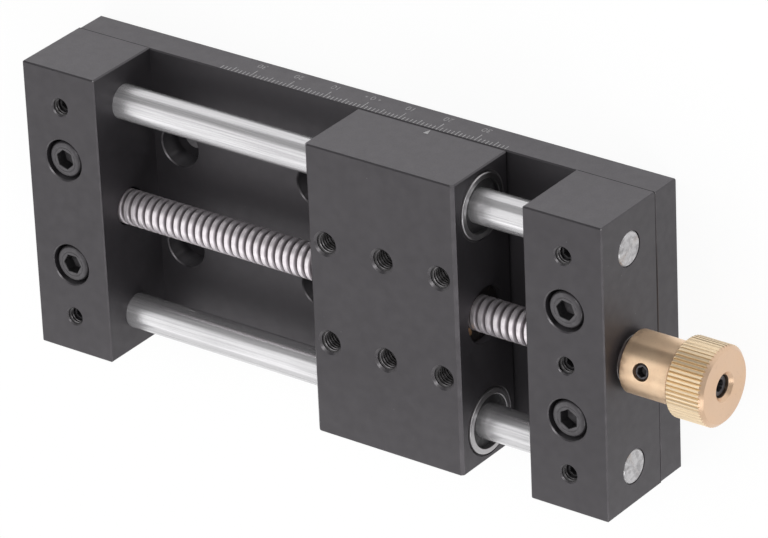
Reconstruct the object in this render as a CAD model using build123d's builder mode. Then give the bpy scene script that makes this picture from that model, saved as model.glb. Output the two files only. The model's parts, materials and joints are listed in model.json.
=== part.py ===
from build123d import *
import os
from math import cos, radians, sin

# Manual linear stage: a carriage on two round shafts, moved by a knob through a lead screw.
# The stage lies on its mounting face. +X runs along the travel towards the knob, +Y towards the
# ruled edge of the base plate, and +Z up from the mounting face to the carriage's table.
# The origin is the centre of the mounting face. Sizes are in millimetres.

# Width shared by the end blocks and the carriage; the base plate stands back on both sides
STAGE_WIDTH = 70.0
PLATE_SIDE_STEP = 0.25

# Base plate and the counterbored holes that bolt it down
PLATE_LENGTH = 154.0
PLATE_THICKNESS = 8.0
MOUNT_HOLE_DIAMETER = 5.5
MOUNT_HEAD_DIAMETER = 10.0
MOUNT_HEAD_DEPTH = 5.5
COUNTERBORE_BREAK = 0.25
OUTER_MOUNT_SPACING = 100.0
INNER_MOUNT_SPACING = 25.0
MOUNT_ROW_SPACING = 25.0

# End blocks
BLOCK_LENGTH = 20.0
BLOCK_HEIGHT = 20.0
EDGE_BREAK = 0.3

# Carriage, at rest off the middle of its travel
CARRIAGE_LENGTH = 39.0
CARRIAGE_FLOOR_GAP = 0.4
CARRIAGE_RISE = 0.3
CARRIAGE_REST = 20.0
TABLE_END_BREAK = 0.7
TABLE_HOLE_SPACING_X = 15.0
TABLE_HOLE_SPACING_Y = 24.0
TABLE_THREAD_DIAMETER = 5.0
TABLE_HOLE_BREAK = 0.5

# Guide shafts
SHAFT_DIAMETER = 8.0
SHAFT_TO_SIDE = 9.0
SHAFT_END_BREAK = 0.4

# Linear ball bushings, two on each shaft, whose rounded lips stand out of the carriage's ends
BUSHING_DIAMETER = 15.0
BUSHING_LENGTH = 17.0
BUSHING_WALL = 1.35
BUSHING_PROUD = 0.35
BUSHING_OUTER_ROUND = 0.35
BUSHING_INNER_ROUND = 0.15
BUSHING_MOUTH_BREAK = 0.48
SEAL_THICKNESS = 1.0
SEAL_INSET = 1.2
SEAL_LIP_GAP = 0.08
CAGE_SHAFT_GAP = 0.3

# Lead screw and its turned journals
SCREW_DIAMETER = 8.0
SCREW_THREAD_END_BREAK = 0.7
SCREW_HOLE_DIAMETER = 9.0
JOURNAL_DIAMETER = 5.0
JOURNAL_END_BREAK = 0.3
JOURNAL_FAR_RECESS = 0.2
JOURNAL_KNOB_RECESS = 1.3
CENTRE_HOLE_DIAMETER = 2.8
CENTRE_HOLE_DEPTH = 2.4

# Ball bearings of the lead screw
BEARING_DIAMETER = 11.0
BEARING_WIDTH = 5.0
BEARING_RING_WALL = 0.9
BEARING_BREAK = 0.15
BALL_DIAMETER = 1.588
BALL_RACE_PLAY = 0.02
SHIELD_THICKNESS = 0.25
SHIELD_INSET = 0.15
SHIELD_SEAT = 0.15
SHIELD_GAP = 0.1

# Retaining ring on the far journal, and the depth that it adds to the far pocket
CIRCLIP_THICKNESS = 0.6
CIRCLIP_WIDTH = 1.4
CIRCLIP_GROOVE_DEPTH = 0.15
CIRCLIP_GAP_ANGLE = 70.0
FAR_POCKET_EXTRA = 1.5

# Knob, on the knob-side journal behind a spacer washer
SPACER_THICKNESS = 1.2
SPACER_DIAMETER = 6.6
HUB_DIAMETER = 14.0
HUB_LENGTH = 12.8
HUB_BREAK = 0.4
HEAD_DIAMETER = 18.0
HEAD_LENGTH = 9.3
HEAD_BACK_BREAK = 0.5
HEAD_FRONT_BREAK = 0.9
KNOB_BORE_BREAK = 0.85
KNURL_TEETH = 56
KNURL_DEPTH = 0.36
KNURL_GROOVE_SHARE = 0.55

# Lead nut, pushed into the carriage from the knob's side
NUT_DIAMETER = 13.0
NUT_LENGTH = 24.0
NUT_RECESS = 1.5
NUT_BREAK = 0.3

# Screws
CAP_SCREW_DIAMETER = 5.0
CAP_SCREW_LENGTH = 20.0
CAP_SCREW_HOLE = 5.5
CAP_HEAD_DIAMETER = 8.5
CAP_HEAD_HEIGHT = 5.0
CAP_HEAD_BREAK = 0.5
CAP_HEAD_RECESS = 0.5
CAP_SCREW_SPACING = 26.0
CAP_COUNTERBORE = 9.8
CAP_KEY = 4.0
CAP_KEY_DEPTH = 2.6
GRUB_DIAMETER = 4.0
GRUB_KEY = 2.0
GRUB_KEY_DEPTH = 1.8
GRUB_BREAK = 0.35
GRUB_HOLE_BREAK = 0.3
CLAMP_GRUB_LENGTH = 4.0
KNOB_GRUB_LENGTH = 4.0
KNOB_GRUB_BACKSET = 7.2
KNOB_GRUB_ANGLE = 15.0
NUT_GRUB_SINK = 0.28

# Lock: a grub screw that presses a pad on the lead screw, shown let go
LOCK_LENGTH = 2.5
LOCK_PAD_DIAMETER = 3.7
LOCK_PAD_THICKNESS = 1.0
LOCK_PAD_GAP = 0.5

# Clearances
THREAD_PLAY = 0.05
SHAFT_PLAY = 0.02
SEAT_PLAY = 0.01
SCREW_NUT_PLAY = 0.05
CONTACT_GAP = 0.02

# Places worked out from the sizes above
PLATE_WIDTH = STAGE_WIDTH - 2 * PLATE_SIDE_STEP
AXIS_HEIGHT = PLATE_THICKNESS + BLOCK_HEIGHT / 2
BLOCK_TOP = PLATE_THICKNESS + BLOCK_HEIGHT
BLOCK_X = (PLATE_LENGTH - BLOCK_LENGTH) / 2
OUTER_X = PLATE_LENGTH / 2
SHAFT_SPACING = STAGE_WIDTH - 2 * SHAFT_TO_SIDE
SHAFT_Y = SHAFT_SPACING / 2
CARRIAGE_BOTTOM = PLATE_THICKNESS + CARRIAGE_FLOOR_GAP
CARRIAGE_TOP = BLOCK_TOP + CARRIAGE_RISE
BUSHING_BORE = BUSHING_DIAMETER + 2 * SHAFT_PLAY
JOURNAL_FIT = JOURNAL_DIAMETER + 2 * SEAT_PLAY
FAR_BEARING_X = -OUTER_X + FAR_POCKET_EXTRA
FAR_SHOULDER_X = FAR_BEARING_X + BEARING_WIDTH
KNOB_SHOULDER_X = OUTER_X - BEARING_WIDTH
KNOB_X = OUTER_X + SPACER_THICKNESS
HEAD_X = KNOB_X + HUB_LENGTH
KNOB_FACE_X = HEAD_X + HEAD_LENGTH
SCREW_CREST = AXIS_HEIGHT + SCREW_DIAMETER / 2

SIDES = {"far": -1, "knob": 1}
ROWS = {"front": -1, "rear": 1}


def across(x, y=0.0, turn=0.0):
    """A plane square to the travel, centred at the shafts' height. Its x is +Y turned towards +Z."""
    angle = radians(turn)
    return Plane(origin=(x, y, AXIS_HEIGHT), x_dir=(0, cos(angle), sin(angle)), z_dir=(1, 0, 0))


def along(y=0.0):
    """A plane that holds an axis: its x runs with the travel and its y is the radius."""
    return Plane(origin=(0, y, AXIS_HEIGHT), x_dir=(1, 0, 0), z_dir=(0, -1, 0))


def travel_axis(y=0.0):
    """The axis along the travel that turned pieces are made about."""
    return Axis((0, y, AXIS_HEIGHT), (1, 0, 0))


def save(name, piece):
    """Label a finished piece and write it as a STEP file of its own."""
    piece.part.label = name
    export_step(piece.part, f"parts/{name}.step")


def grub_screw(length):
    """A headless screw along Z, with its point at the origin and its key socket on top."""
    with BuildPart() as screw:
        with BuildSketch():
            Circle(GRUB_DIAMETER / 2 - THREAD_PLAY)
        extrude(amount=length)
        chamfer(screw.edges().filter_by(GeomType.CIRCLE), GRUB_BREAK)
        with BuildSketch(Plane.XY.offset(length)):
            RegularPolygon(GRUB_KEY / 2, 6, major_radius=False)
        extrude(amount=-min(GRUB_KEY_DEPTH, length - GRUB_BREAK), mode=Mode.SUBTRACT)
    return screw.part


def cap_screw():
    """A socket head screw along Z, with the underside of its head at the origin."""
    with BuildPart() as screw:
        with BuildSketch():
            Circle(CAP_HEAD_DIAMETER / 2)
        extrude(amount=CAP_HEAD_HEIGHT)
        chamfer(screw.faces().sort_by(Axis.Z)[-1].edges(), CAP_HEAD_BREAK)
        with BuildSketch():
            Circle(CAP_SCREW_DIAMETER / 2 - THREAD_PLAY)
        extrude(amount=-CAP_SCREW_LENGTH)
        chamfer(screw.faces().sort_by(Axis.Z)[0].edges(), CAP_HEAD_BREAK)
        with BuildSketch(Plane.XY.offset(CAP_HEAD_HEIGHT)):
            RegularPolygon(CAP_KEY / 2, 6, major_radius=False)
        extrude(amount=-CAP_KEY_DEPTH, mode=Mode.SUBTRACT)
    return screw.part


def grub_hole(depth):
    """Cut a tapped hole with a broken edge at each active location."""
    CounterSinkHole(GRUB_DIAMETER / 2, GRUB_DIAMETER / 2 + GRUB_HOLE_BREAK, depth, 90)


def counterbore_mouths(part, height):
    """The rims of the widest holes that open upwards at a height."""
    level = part.edges().filter_by_position(Axis.Z, height - CONTACT_GAP, height + CONTACT_GAP)
    return level.filter_by(GeomType.CIRCLE).group_by(SortBy.RADIUS)[-1]


def ring(x, length, outer_radius, inner_radius, y=0.0):
    """A plain ring about the travel direction."""
    with BuildPart() as piece:
        with BuildSketch(across(x, y)):
            Circle(outer_radius)
            Circle(inner_radius, mode=Mode.SUBTRACT)
        extrude(amount=length)
    return piece.part


def open_ring(x, y, thickness, outer_radius, width, gap_angle, gap_centre):
    """A flat ring with a gap, square to the travel. Angles run from +Y towards +Z."""
    half_gap = radians(gap_angle / 2)
    reach = 2 * outer_radius
    with BuildPart() as piece:
        with BuildSketch(across(x, y, gap_centre)):
            Circle(outer_radius)
            Circle(outer_radius - width, mode=Mode.SUBTRACT)
            Polygon(
                (0, 0),
                (reach * cos(half_gap), -reach * sin(half_gap)),
                (reach * cos(half_gap), reach * sin(half_gap)),
                align=None,
                mode=Mode.SUBTRACT,
            )
        extrude(amount=thickness)
    return piece.part


os.makedirs("parts", exist_ok=True)

# Base plate, tapped for the block screws and counterbored for the screws that hold it down
with BuildPart() as base_plate:
    with BuildSketch():
        Rectangle(PLATE_LENGTH, PLATE_WIDTH)
    extrude(amount=PLATE_THICKNESS)
    chamfer(base_plate.edges(), EDGE_BREAK)
    with Locations(Plane.XY.offset(PLATE_THICKNESS)):
        for spacing in (OUTER_MOUNT_SPACING, INNER_MOUNT_SPACING):
            with GridLocations(spacing, MOUNT_ROW_SPACING, 2, 2):
                CounterBoreHole(MOUNT_HOLE_DIAMETER / 2, MOUNT_HEAD_DIAMETER / 2, MOUNT_HEAD_DEPTH)
        with GridLocations(2 * BLOCK_X, CAP_SCREW_SPACING, 2, 2):
            Hole(CAP_SCREW_DIAMETER / 2)
    chamfer(counterbore_mouths(base_plate, PLATE_THICKNESS), COUNTERBORE_BREAK)
save("base_plate", base_plate)


def end_block(side, pocket_depth):
    """An end block with its shaft bores, screw hole, bearing pocket, clamp and bolt holes."""
    inner_x = side * (OUTER_X - BLOCK_LENGTH)
    with BuildPart() as block:
        with BuildSketch(Plane.XY.offset(PLATE_THICKNESS)):
            with Locations((side * BLOCK_X, 0)):
                Rectangle(BLOCK_LENGTH, STAGE_WIDTH)
        extrude(amount=BLOCK_HEIGHT)
        seat = block.faces().sort_by(Axis.Z)[0]
        chamfer(block.edges() - seat.edges(), EDGE_BREAK)
        with BuildSketch(across(inner_x)):
            Circle(SCREW_HOLE_DIAMETER / 2)
            with GridLocations(SHAFT_SPACING, 0, 2, 1):
                Circle(SHAFT_DIAMETER / 2 + SHAFT_PLAY)
        extrude(amount=side * BLOCK_LENGTH, mode=Mode.SUBTRACT)
        with BuildSketch(across(side * OUTER_X)):
            Circle(BEARING_DIAMETER / 2 + SEAT_PLAY)
        extrude(amount=-side * pocket_depth, mode=Mode.SUBTRACT)
        with Locations((side * BLOCK_X, 0, BLOCK_TOP)):
            with GridLocations(0, CAP_SCREW_SPACING, 1, 2):
                CounterBoreHole(
                    CAP_SCREW_HOLE / 2, CAP_COUNTERBORE / 2, CAP_HEAD_HEIGHT + CAP_HEAD_RECESS
                )
            with GridLocations(0, SHAFT_SPACING, 1, 2):
                grub_hole(BLOCK_HEIGHT / 2)
        chamfer(counterbore_mouths(block, BLOCK_TOP), COUNTERBORE_BREAK)
    return block.part


with BuildPart() as end_block_far:
    add(end_block(SIDES["far"], BEARING_WIDTH + FAR_POCKET_EXTRA))
save("end_block_far", end_block_far)

with BuildPart() as end_block_knob:
    add(end_block(SIDES["knob"], BEARING_WIDTH))
    with Locations((BLOCK_X, 0, BLOCK_TOP)):
        grub_hole(BLOCK_HEIGHT / 2)
save("end_block_knob", end_block_knob)

for row, hand in ROWS.items():
    with BuildPart() as guide_shaft:
        with BuildSketch(across(-OUTER_X, hand * SHAFT_Y)):
            Circle(SHAFT_DIAMETER / 2)
        extrude(amount=PLATE_LENGTH)
        chamfer(guide_shaft.edges().filter_by(GeomType.CIRCLE), SHAFT_END_BREAK)
    save(f"guide_shaft_{row}", guide_shaft)

for end, side in SIDES.items():
    with BuildPart() as block_screws:
        with Locations((side * BLOCK_X, 0, BLOCK_TOP - CAP_HEAD_RECESS - CAP_HEAD_HEIGHT)):
            with GridLocations(0, CAP_SCREW_SPACING, 1, 2):
                add(cap_screw())
    save(f"block_screws_{end}", block_screws)

    with BuildPart() as shaft_clamp_screws:
        with Locations((side * BLOCK_X, 0, AXIS_HEIGHT + SHAFT_DIAMETER / 2 + CONTACT_GAP)):
            with GridLocations(0, SHAFT_SPACING, 1, 2):
                add(grub_screw(CLAMP_GRUB_LENGTH))
    save(f"shaft_clamp_screws_{end}", shaft_clamp_screws)

# Ball bearings: rings with a race groove, and a shield on each side
PITCH_RADIUS = (BEARING_DIAMETER + JOURNAL_DIAMETER) / 4
RACE_RADIUS = BALL_DIAMETER / 2 + BALL_RACE_PLAY
OUTER_RING_BORE = BEARING_DIAMETER / 2 - BEARING_RING_WALL
INNER_RING_EDGE = JOURNAL_DIAMETER / 2 + BEARING_RING_WALL
SHIELD_EDGE = OUTER_RING_BORE + SHIELD_SEAT - SEAT_PLAY
for end, start in {"far": FAR_BEARING_X, "knob": KNOB_SHOULDER_X}.items():
    middle = start + BEARING_WIDTH / 2
    with BuildPart() as outer_ring:
        add(ring(start, BEARING_WIDTH, BEARING_DIAMETER / 2, OUTER_RING_BORE))
        chamfer(outer_ring.edges().filter_by(GeomType.CIRCLE).sort_by(SortBy.RADIUS)[-2:], BEARING_BREAK)
        for face in (start, start + BEARING_WIDTH - SHIELD_INSET - SHIELD_THICKNESS):
            with BuildSketch(across(face)):
                Circle(OUTER_RING_BORE + SHIELD_SEAT)
            extrude(amount=SHIELD_INSET + SHIELD_THICKNESS, mode=Mode.SUBTRACT)
        with BuildSketch(along()):
            with Locations((middle, PITCH_RADIUS)):
                Circle(RACE_RADIUS)
        revolve(axis=travel_axis(), mode=Mode.SUBTRACT)
    save(f"bearing_outer_ring_{end}", outer_ring)

    with BuildPart() as inner_ring:
        add(ring(start, BEARING_WIDTH, INNER_RING_EDGE, JOURNAL_FIT / 2))
        chamfer(inner_ring.edges().filter_by(GeomType.CIRCLE).sort_by(SortBy.RADIUS)[:2], BEARING_BREAK)
        with BuildSketch(along()):
            with Locations((middle, PITCH_RADIUS)):
                Circle(RACE_RADIUS)
        revolve(axis=travel_axis(), mode=Mode.SUBTRACT)
    save(f"bearing_inner_ring_{end}", inner_ring)

    with BuildPart() as shields:
        for face in (start + SHIELD_INSET, start + BEARING_WIDTH - SHIELD_INSET - SHIELD_THICKNESS):
            add(ring(face, SHIELD_THICKNESS, SHIELD_EDGE, INNER_RING_EDGE + SHIELD_GAP))
    save(f"bearing_shields_{end}", shields)

# Lead screw, with a journal turned down at each end between centres, and a retaining ring groove
FAR_END_X = -OUTER_X + JOURNAL_FAR_RECESS
KNOB_END_X = KNOB_FACE_X - JOURNAL_KNOB_RECESS
with BuildPart() as lead_screw:
    with BuildSketch(across(FAR_SHOULDER_X)):
        Circle(SCREW_DIAMETER / 2)
    extrude(amount=KNOB_SHOULDER_X - FAR_SHOULDER_X)
    chamfer(lead_screw.edges().filter_by(GeomType.CIRCLE), SCREW_THREAD_END_BREAK)
    with BuildSketch(across(FAR_END_X)):
        Circle(JOURNAL_DIAMETER / 2)
    extrude(amount=KNOB_END_X - FAR_END_X)
    ends = lead_screw.faces().filter_by(GeomType.PLANE).sort_by(Axis.X)
    chamfer(ShapeList([*ends[0].edges(), *ends[-1].edges()]), JOURNAL_END_BREAK)
    with BuildSketch(along()):
        for end_x, inward in ((FAR_END_X, 1), (KNOB_END_X, -1)):
            Polygon(
                (end_x, 0),
                (end_x, CENTRE_HOLE_DIAMETER / 2),
                (end_x + inward * CENTRE_HOLE_DEPTH, 0),
                align=None,
            )
    revolve(axis=travel_axis(), mode=Mode.SUBTRACT)
    with BuildSketch(across(FAR_BEARING_X - CIRCLIP_THICKNESS - CONTACT_GAP)):
        Circle(JOURNAL_DIAMETER / 2 + SEAT_PLAY)
        Circle(JOURNAL_DIAMETER / 2 - CIRCLIP_GROOVE_DEPTH, mode=Mode.SUBTRACT)
    extrude(amount=CIRCLIP_THICKNESS + CONTACT_GAP, mode=Mode.SUBTRACT)
save("lead_screw", lead_screw)

with BuildPart() as journal_circlip:
    add(
        open_ring(
            FAR_BEARING_X - CIRCLIP_THICKNESS - CONTACT_GAP / 2,
            0,
            CIRCLIP_THICKNESS,
            JOURNAL_DIAMETER / 2 - CIRCLIP_GROOVE_DEPTH + SEAT_PLAY + CIRCLIP_WIDTH,
            CIRCLIP_WIDTH,
            CIRCLIP_GAP_ANGLE,
            90,
        )
    )
save("journal_circlip", journal_circlip)

with BuildPart() as spacer_washer:
    add(ring(OUTER_X, SPACER_THICKNESS, SPACER_DIAMETER / 2, JOURNAL_FIT / 2))
save("spacer_washer", spacer_washer)

# Knob: a smooth hub for the set screw and a straight knurled head
KNOB_GRUB_LEAN = radians(KNOB_GRUB_ANGLE)
HUB_SIDE = Plane(
    origin=(HEAD_X - KNOB_GRUB_BACKSET, 0, AXIS_HEIGHT),
    x_dir=(1, 0, 0),
    z_dir=(0, sin(KNOB_GRUB_LEAN), cos(KNOB_GRUB_LEAN)),
)
KNURL_STEP = 360 / KNURL_TEETH
GROOVE_HALF_ANGLE = radians(KNURL_STEP * KNURL_GROOVE_SHARE / 2)
with BuildPart() as knob:
    with BuildSketch(across(HEAD_X)) as head_section:
        Circle(HEAD_DIAMETER / 2)
        with PolarLocations(0, KNURL_TEETH):
            Polygon(
                (HEAD_DIAMETER / 2 - KNURL_DEPTH, 0),
                (HEAD_DIAMETER / 2 * cos(GROOVE_HALF_ANGLE), HEAD_DIAMETER / 2 * sin(GROOVE_HALF_ANGLE)),
                (HEAD_DIAMETER / 2 + KNURL_DEPTH, 0),
                (HEAD_DIAMETER / 2 * cos(GROOVE_HALF_ANGLE), -HEAD_DIAMETER / 2 * sin(GROOVE_HALF_ANGLE)),
                align=None,
                mode=Mode.SUBTRACT,
            )
    extrude(amount=HEAD_LENGTH)
    with BuildSketch(along()):
        with BuildLine():
            Polyline(
                (HEAD_X, 0),
                (HEAD_X, HEAD_DIAMETER / 2 - HEAD_BACK_BREAK),
                (HEAD_X + HEAD_BACK_BREAK, HEAD_DIAMETER / 2),
                (KNOB_FACE_X - HEAD_FRONT_BREAK, HEAD_DIAMETER / 2),
                (KNOB_FACE_X, HEAD_DIAMETER / 2 - HEAD_FRONT_BREAK),
                (KNOB_FACE_X, 0),
                close=True,
            )
        make_face()
    revolve(axis=travel_axis(), mode=Mode.INTERSECT)
    with BuildSketch(across(KNOB_X)):
        Circle(HUB_DIAMETER / 2)
    extrude(amount=HUB_LENGTH)
    chamfer(knob.faces().sort_by(Axis.X)[0].edges(), HUB_BREAK)
    with BuildSketch(across(KNOB_X)):
        Circle(JOURNAL_FIT / 2)
    extrude(amount=KNOB_FACE_X - KNOB_X, mode=Mode.SUBTRACT)
    chamfer(knob.faces().sort_by(Axis.X)[-1].edges().sort_by(SortBy.RADIUS)[0], KNOB_BORE_BREAK)
    with BuildSketch(HUB_SIDE):
        Circle(GRUB_DIAMETER / 2)
    extrude(amount=HUB_DIAMETER, mode=Mode.SUBTRACT)
save("knob", knob)

with BuildPart() as knob_set_screw:
    with Locations(HUB_SIDE.offset(JOURNAL_DIAMETER / 2 + CONTACT_GAP)):
        add(grub_screw(KNOB_GRUB_LENGTH))
save("knob_set_screw", knob_set_screw)

# Lock screw and its pad, in the knob-side block above the lead screw
PAD_BOTTOM = SCREW_CREST + LOCK_PAD_GAP
with BuildPart() as lock_pad:
    with BuildSketch(Plane.XY.offset(PAD_BOTTOM)):
        with Locations((BLOCK_X, 0)):
            Circle(LOCK_PAD_DIAMETER / 2)
    extrude(amount=LOCK_PAD_THICKNESS)
save("lock_pad", lock_pad)

with BuildPart() as lock_screw:
    with Locations((BLOCK_X, 0, PAD_BOTTOM + LOCK_PAD_THICKNESS + CONTACT_GAP)):
        add(grub_screw(LOCK_LENGTH))
save("lock_screw", lock_screw)

# Carriage block, with two bushing bores, the nut's bore and six tapped holes in its table
CARRIAGE_LEFT = CARRIAGE_REST - CARRIAGE_LENGTH / 2
CARRIAGE_RIGHT = CARRIAGE_REST + CARRIAGE_LENGTH / 2
NUT_RIGHT = CARRIAGE_RIGHT - NUT_RECESS
NUT_MIDDLE = NUT_RIGHT - NUT_LENGTH / 2
NUT_BOTTOM = AXIS_HEIGHT - NUT_DIAMETER / 2
NUT_BORE = SCREW_DIAMETER + 2 * SCREW_NUT_PLAY
NUT_GRUB_TIP = NUT_BOTTOM - CONTACT_GAP
TABLE_HOLE_RADIUS = TABLE_THREAD_DIAMETER / 2
with BuildPart() as carriage_block:
    with BuildSketch(Plane.XZ) as carriage_profile:
        with Locations((CARRIAGE_REST, (CARRIAGE_BOTTOM + CARRIAGE_TOP) / 2)):
            Rectangle(CARRIAGE_LENGTH, CARRIAGE_TOP - CARRIAGE_BOTTOM)
        corners = carriage_profile.vertices().group_by(Axis.Y)
        chamfer(corners[0], EDGE_BREAK)
        chamfer(corners[-1], TABLE_END_BREAK)
    extrude(amount=STAGE_WIDTH / 2, both=True)
    chamfer(carriage_block.faces().filter_by(Axis.Y).edges(), EDGE_BREAK)
    with BuildSketch(across(CARRIAGE_LEFT)):
        Circle(SCREW_HOLE_DIAMETER / 2)
        with GridLocations(SHAFT_SPACING, 0, 2, 1):
            Circle(BUSHING_BORE / 2)
    extrude(amount=CARRIAGE_LENGTH, mode=Mode.SUBTRACT)
    bushing_mouths = carriage_block.edges().filter_by(GeomType.CIRCLE).group_by(SortBy.RADIUS)[-1]
    chamfer(bushing_mouths, BUSHING_MOUTH_BREAK)
    with BuildSketch(across(CARRIAGE_RIGHT)):
        Circle(NUT_DIAMETER / 2 + SEAT_PLAY)
    extrude(amount=-(NUT_RECESS + NUT_LENGTH), mode=Mode.SUBTRACT)
    with Locations((CARRIAGE_REST, 0, CARRIAGE_TOP)):
        with GridLocations(TABLE_HOLE_SPACING_X, TABLE_HOLE_SPACING_Y, 3, 2):
            CounterSinkHole(TABLE_HOLE_RADIUS, TABLE_HOLE_RADIUS + TABLE_HOLE_BREAK, None, 90)
    with Locations(Plane(origin=(NUT_MIDDLE, 0, CARRIAGE_BOTTOM), z_dir=(0, 0, -1))):
        grub_hole(AXIS_HEIGHT - CARRIAGE_BOTTOM)
save("carriage_block", carriage_block)

with BuildPart() as lead_nut:
    add(ring(NUT_RIGHT - NUT_LENGTH, NUT_LENGTH, NUT_DIAMETER / 2, NUT_BORE / 2))
    chamfer(lead_nut.edges().filter_by(GeomType.CIRCLE), NUT_BREAK)
save("lead_nut", lead_nut)

with BuildPart() as nut_grub_screw:
    with Locations(Plane(origin=(NUT_MIDDLE, 0, NUT_GRUB_TIP), z_dir=(0, 0, -1))):
        add(grub_screw(NUT_GRUB_TIP - CARRIAGE_BOTTOM - NUT_GRUB_SINK))
save("nut_grub_screw", nut_grub_screw)

# Linear bushings: a steel shell, a ball cage and a seal at each end
SHELL_BORE = BUSHING_DIAMETER / 2 - BUSHING_WALL
INSERT_RADIUS = SHELL_BORE - SEAT_PLAY
SEAL_DEPTH = SEAL_INSET + SEAL_THICKNESS
SEAL_LIP = SHAFT_DIAMETER / 2 + SEAL_LIP_GAP
CAGE_LENGTH = BUSHING_LENGTH - 2 * SEAL_DEPTH
CAGE_BORE = SHAFT_DIAMETER / 2 + CAGE_SHAFT_GAP
BUSHING_X = {
    "far": CARRIAGE_LEFT - BUSHING_PROUD,
    "knob": CARRIAGE_RIGHT + BUSHING_PROUD - BUSHING_LENGTH,
}
for row, hand in ROWS.items():
    for end, start in BUSHING_X.items():
        shaft_y = hand * SHAFT_Y
        with BuildPart() as bushing_shell:
            add(ring(start, BUSHING_LENGTH, BUSHING_DIAMETER / 2, SHELL_BORE, shaft_y))
            rims = bushing_shell.edges().filter_by(GeomType.CIRCLE).group_by(SortBy.RADIUS)
            fillet(rims[-1], BUSHING_OUTER_ROUND)
            fillet(rims[0], BUSHING_INNER_ROUND)
        save(f"bushing_shell_{row}_{end}", bushing_shell)

        with BuildPart() as bushing_seals:
            for face in (start + SEAL_INSET, start + BUSHING_LENGTH - SEAL_DEPTH):
                add(ring(face, SEAL_THICKNESS, INSERT_RADIUS, SEAL_LIP, shaft_y))
        save(f"bushing_seals_{row}_{end}", bushing_seals)

        with BuildPart() as bushing_cage:
            add(ring(start + SEAL_DEPTH, CAGE_LENGTH, INSERT_RADIUS, CAGE_BORE, shaft_y))
        save(f"bushing_cage_{row}_{end}", bushing_cage)
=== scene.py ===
"""Looks of the manual linear stage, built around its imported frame.

Lengths are in millimetres here and become metres where a mesh, light or camera is made.
X runs along the travel towards the knob, Y towards the ruled edge and Z up from the mounting face.
"""

import json
import math

import bmesh
import bpy
from mathutils import Matrix, Vector


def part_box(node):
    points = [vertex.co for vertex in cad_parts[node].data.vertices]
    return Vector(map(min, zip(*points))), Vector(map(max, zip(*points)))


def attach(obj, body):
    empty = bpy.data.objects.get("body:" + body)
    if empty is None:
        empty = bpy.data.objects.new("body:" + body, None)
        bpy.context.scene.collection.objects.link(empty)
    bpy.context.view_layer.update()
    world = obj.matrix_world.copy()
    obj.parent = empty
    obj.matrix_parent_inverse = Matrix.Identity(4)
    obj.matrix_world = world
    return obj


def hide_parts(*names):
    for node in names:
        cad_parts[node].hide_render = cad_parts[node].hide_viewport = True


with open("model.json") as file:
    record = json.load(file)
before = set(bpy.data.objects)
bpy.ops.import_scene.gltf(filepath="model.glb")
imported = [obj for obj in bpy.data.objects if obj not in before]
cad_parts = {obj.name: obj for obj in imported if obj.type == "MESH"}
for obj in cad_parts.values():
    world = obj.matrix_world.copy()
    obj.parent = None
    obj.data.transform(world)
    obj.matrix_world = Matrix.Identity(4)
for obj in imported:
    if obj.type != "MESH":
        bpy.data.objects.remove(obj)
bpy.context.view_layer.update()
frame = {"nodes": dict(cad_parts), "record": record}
MM = 0.001


def box(node):
    """The lowest and highest corner of a frame node, in millimetres."""
    low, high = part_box(node)
    return low / MM, high / MM


# Places read from the frame
PLATE_LOW, PLATE = box("base_plate")
CARRIAGE_LOW, CARRIAGE_HIGH = box("carriage_block")
CARRIAGE_X = (CARRIAGE_LOW.x + CARRIAGE_HIGH.x) / 2
BLOCK_INNER_X = box("end_block_knob")[0].x
BLOCK_TOP = box("end_block_knob")[1].z
SCREW_LOW, SCREW_HIGH = box("lead_screw")
AXIS_HEIGHT = (SCREW_LOW.z + SCREW_HIGH.z) / 2
FAR_SHOULDER = box("bearing_inner_ring_far")[1].x
KNOB_SHOULDER = box("bearing_inner_ring_knob")[0].x
CIRCLIP_LOW, CIRCLIP_HIGH = box("journal_circlip")
NUT_MOUTH = box("lead_nut")[1].x
HUB_START = box("knob")[0].x
KNOB_FACE = box("knob")[1].x

# Knob: where its head starts, and the radius at the root of its knurl
HEAD_LENGTH = 9.3
HEAD_START = KNOB_FACE - HEAD_LENGTH
KNURL_ROOT = 8.64

# Trapezoidal thread of the lead screw and its nut: radii, and half widths of the ridge along X
LEAD = 2.0
SCREW_ROOT = 3.02
SCREW_RIDGE = [(2.9, -0.71), (3.6, -0.61), (3.9, -0.55), (4.0, -0.47), (4.0, 0.47), (3.9, 0.55),
               (3.6, 0.61), (2.9, 0.71)]
SHOULDER_GAP = 0.7
# Radii over which the thread's grooves darken with grease and painted shade
GREASE_AND_SHADE_RADII = (3.3, 3.85)
NUT_RIDGE = [(4.2, -0.42), (3.2, -0.17), (3.2, 0.17), (4.2, 0.42)]
NUT_THREAD_TURNS = 4
NUT_MOUTH_GAP = 0.6
# Painted highlight on the nut's rim: its place to the side of and above the axis, and its width
NUT_GLINT = {"side": -2.8, "above": 4.2, "wide": 1.3}

# Journals of the lead screw, with a circlip groove and centre-drilled ends
JOURNAL_RADIUS = 2.5
JOURNAL_BREAK = 0.3
GROOVE_DEPTH = 0.15
GROOVE_PLAY = 0.01
CENTRE_HOLE_RADIUS = 1.4
CENTRE_HOLE_DEPTH = 2.4
CENTRE_HOLE_TIP = 0.03

# Tapped holes: pitch, wall radius, ridge radius and depth of the first ridge
TABLE_TAP = (0.8, 2.5, 2.1, 0.6)
TABLE_SPACING = (15.0, 24.0)
TABLE_TAP_DEPTH = 8.0
CLAMP_TAP = (0.7, 2.0, 1.66, 0.4)

# Ridge of a tapped thread: share of its depth, and place along the hole in pitches.
# The crest and the upper side down to the share of 0.65 are rubbed bright, partly as wear and partly as a
# painted highlight where the light falls
TAP_RIDGE = [(0.0, -0.42), (1.0, -0.08), (1.0, 0.08), (0.65, 0.2), (0.0, 0.42)]
RUBBED_AND_HIGHLIGHT_SIDES = (1, 2)
FOOT_IN_WALL = 0.03

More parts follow.
